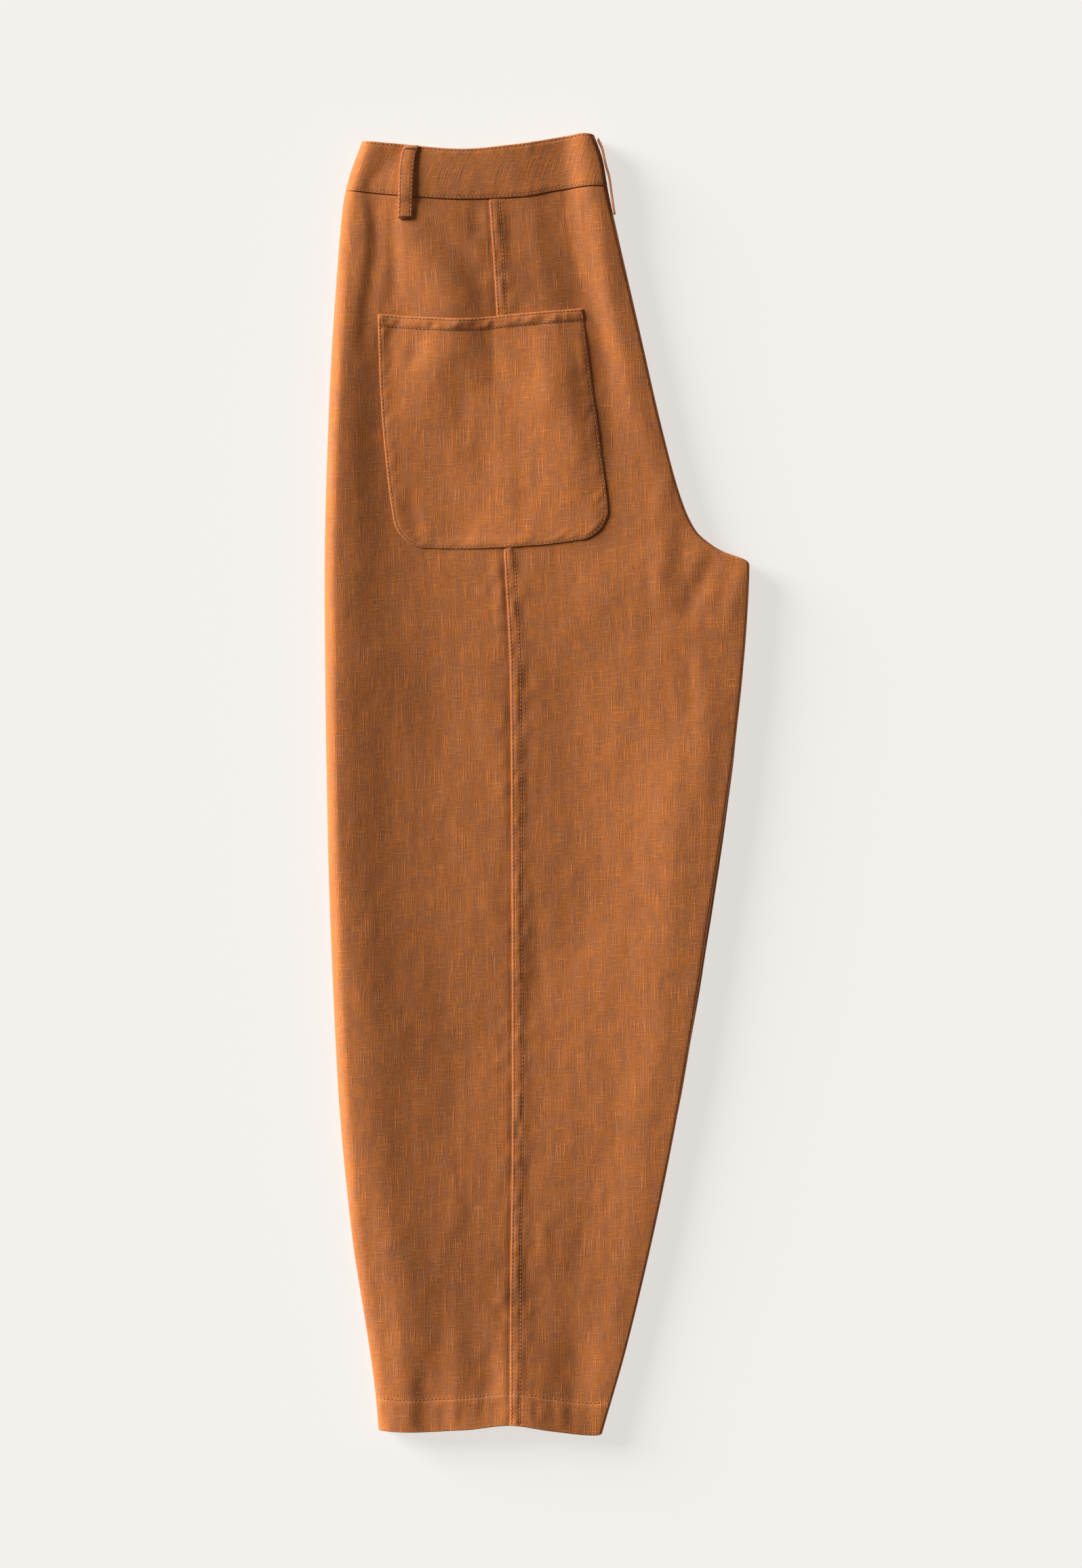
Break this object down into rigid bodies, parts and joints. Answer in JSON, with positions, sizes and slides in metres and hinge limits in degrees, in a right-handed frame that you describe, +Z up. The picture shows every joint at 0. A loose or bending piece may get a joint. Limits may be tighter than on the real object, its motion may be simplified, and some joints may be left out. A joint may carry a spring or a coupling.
{
  "type": "trousers",
  "caption": "Barrel leg linen trousers folded in half lengthwise and laid flat, one back leg up, with a patch pocket and belt loops.",
  "frame": {"origin": "centre of the bounding box in plan, at the surface that the trousers lie on", "axes": "+X towards the crotch, +Y towards the waistband, +Z up from the surface"},
  "size_m": [0.3276, 1.0024, 0.0201],
  "materials": {
    "linen": "matt plain-weave linen with slubs",
    "linen_under": "matt plain-weave linen, the layers underneath"
  },
  "bodies": {
    "root": {"back_panel_outer": "linen", "back_panel_inner": "linen", "hidden_layers": "linen_under", "waistband_back": "linen", "waistband_hidden": "linen_under", "back_pocket": "linen", "belt_loop_side": "linen", "belt_loop_centre_back": "linen"}
  },
  "joints": []
}
